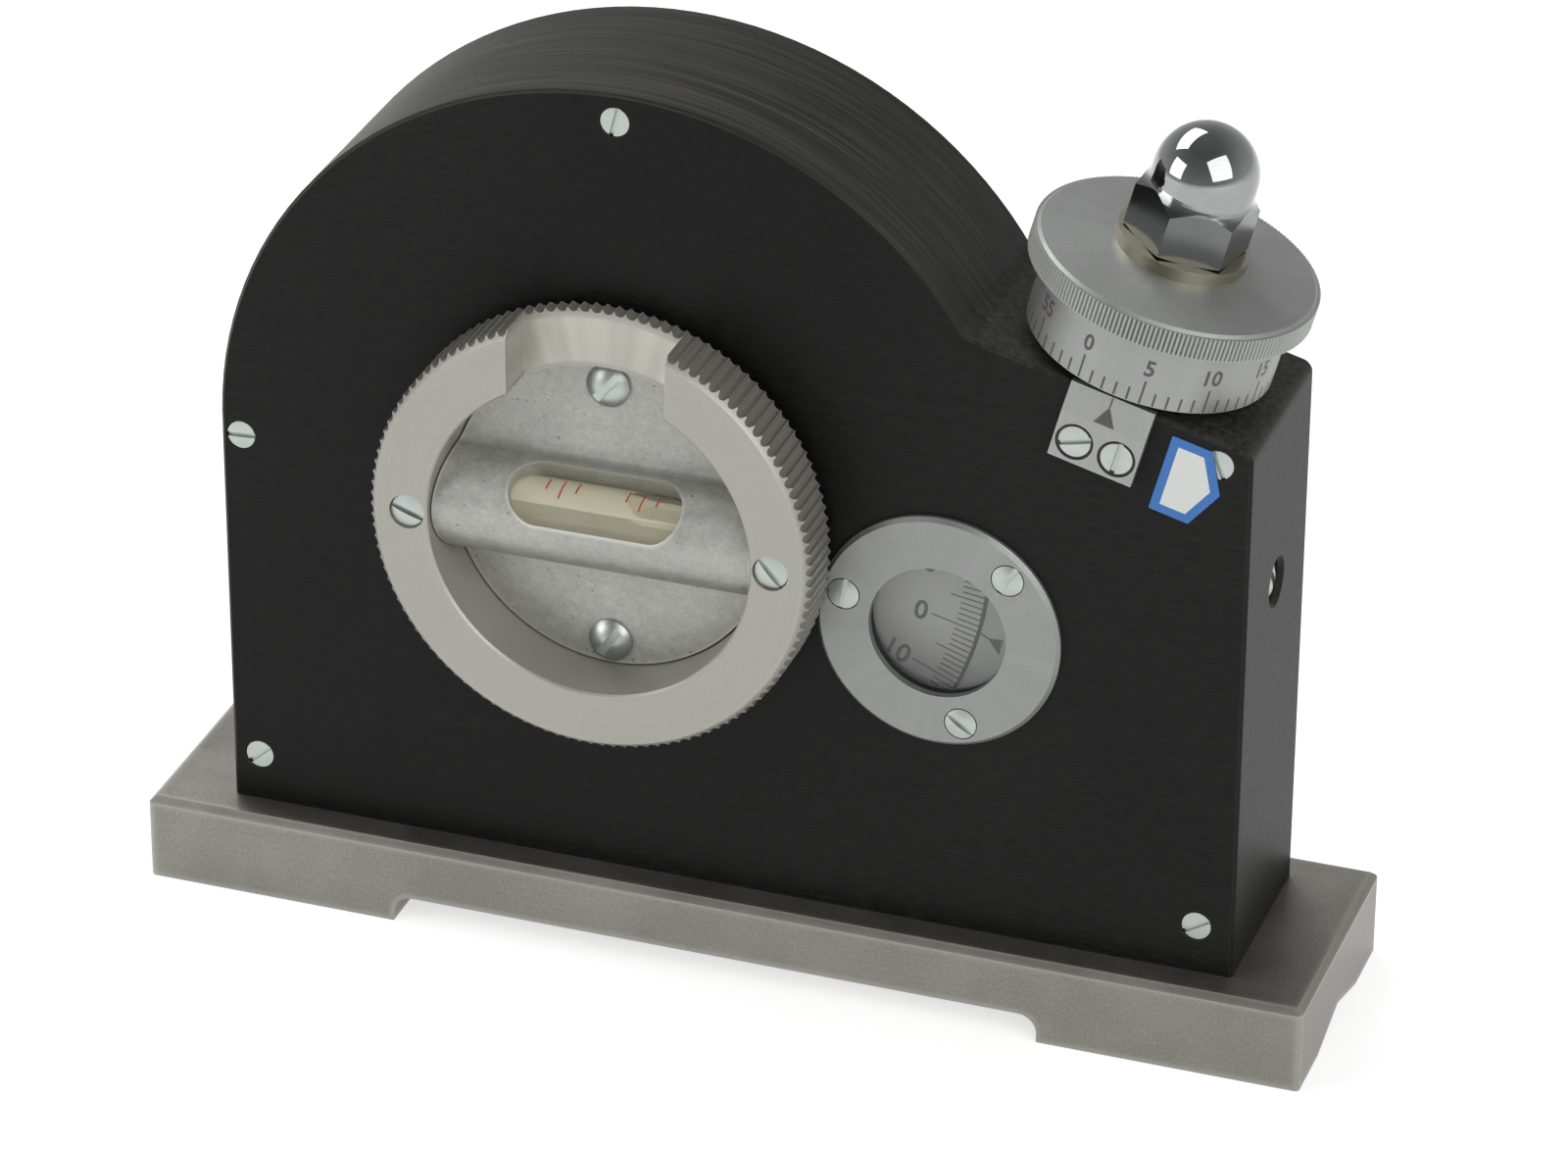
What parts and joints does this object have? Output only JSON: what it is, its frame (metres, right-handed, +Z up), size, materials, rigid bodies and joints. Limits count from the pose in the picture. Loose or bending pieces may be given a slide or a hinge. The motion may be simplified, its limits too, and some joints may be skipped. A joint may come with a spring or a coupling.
{
  "type": "micrometer inclinometer",
  "caption": "Bench inclinometer: vee-grooved steel base, black case, wheel with a spirit level turned through a worm by a graduated drum, degree scale in a round window.",
  "frame": {"origin": "middle of the base's underside, on the vee's centre line, where the feet rest", "axes": "+X along the base towards the drum, +Y to the back, so the dials face -Y, +Z up"},
  "size_m": [0.15, 0.0399, 0.1167],
  "materials": {
    "base_steel": "ground satin",
    "case_black": "black anodised, brushed",
    "ring_satin": "satin",
    "drum_satin": "satin",
    "level_grey": "blasted grey",
    "screw_zinc": "bright zinc",
    "inner_steel": "turned",
    "bronze": "turned",
    "disc_white": "matt scale",
    "index_tan": "satin",
    "clear_glass": "polished",
    "level_fluid": "clear fluid",
    "washer_nickel": "nickel",
    "nut_chrome": "polished",
    "label_print": "printed"
  },
  "bodies": {
    "frame": {"base_plate": "base_steel", "base_screws": "screw_zinc", "base_dowels": "inner_steel", "housing": "case_black", "front_cover": "case_black", "cover_screws": "screw_zinc", "window_bezel": "drum_satin", "window_glass": "clear_glass", "bezel_screws": "screw_zinc", "degree_index": "index_tan", "degree_index_screws": "screw_zinc", "axle_post": "inner_steel", "axle_post_screws": "screw_zinc", "axle_washer": "inner_steel", "axle_end_screw": "screw_zinc", "index_plate": "drum_satin", "index_plate_screws": "screw_zinc", "direction_label": "label_print", "spring_plug": "screw_zinc", "carrier_spring": "inner_steel", "carrier_pivot_pin": "inner_steel"},
    "wheel": {"wheel_hub": "level_grey", "hub_bush": "bronze", "scale_disc": "disc_white", "scale_disc_screws": "screw_zinc", "worm_wheel_web": "inner_steel", "worm_wheel_rim": "bronze", "wheel_screws": "screw_zinc", "knurled_ring": "ring_satin", "ring_screws": "screw_zinc", "vial_holder": "level_grey", "vial_holder_screws": "screw_zinc", "vial_glass": "clear_glass", "vial_end_caps": "inner_steel", "vial_fluid": "level_fluid", "vial_plug": "level_grey"},
    "carrier": {"worm_carrier": "inner_steel", "lower_bush": "bronze", "upper_bush": "bronze"},
    "worm": {"worm_shaft": "inner_steel", "worm_sleeve": "bronze", "shaft_collar": "inner_steel", "collar_set_screw": "inner_steel", "micrometer_drum": "drum_satin", "drum_washer": "washer_nickel", "cap_nut": "nut_chrome"}
  },
  "joints": [
    {"name": "wheel_turn", "type": "hinge", "parent": "frame", "child": "wheel", "pos_m": [-0.0138, 0, 0.061], "axis": [0, 1, 0], "continuous": true},
    {"name": "carrier_release", "type": "hinge", "parent": "frame", "child": "carrier", "pos_m": [0.03309, 0, 0.03038], "axis": [0, 1, 0], "range_deg": [0, 3], "stiffness_Nm_per_rad": 1.2, "springref_deg": -3.44, "deforming": ["carrier_spring"]},
    {"name": "drum_turn", "type": "hinge", "parent": "carrier", "child": "worm", "pos_m": [0.0481, 0, 0.0864], "axis": [0.2588, 0, 0.9659], "continuous": true}
  ],
  "couplings": [
    {"joint": "wheel_turn", "follows": "drum_turn", "ratio": 0.0027778}
  ]
}
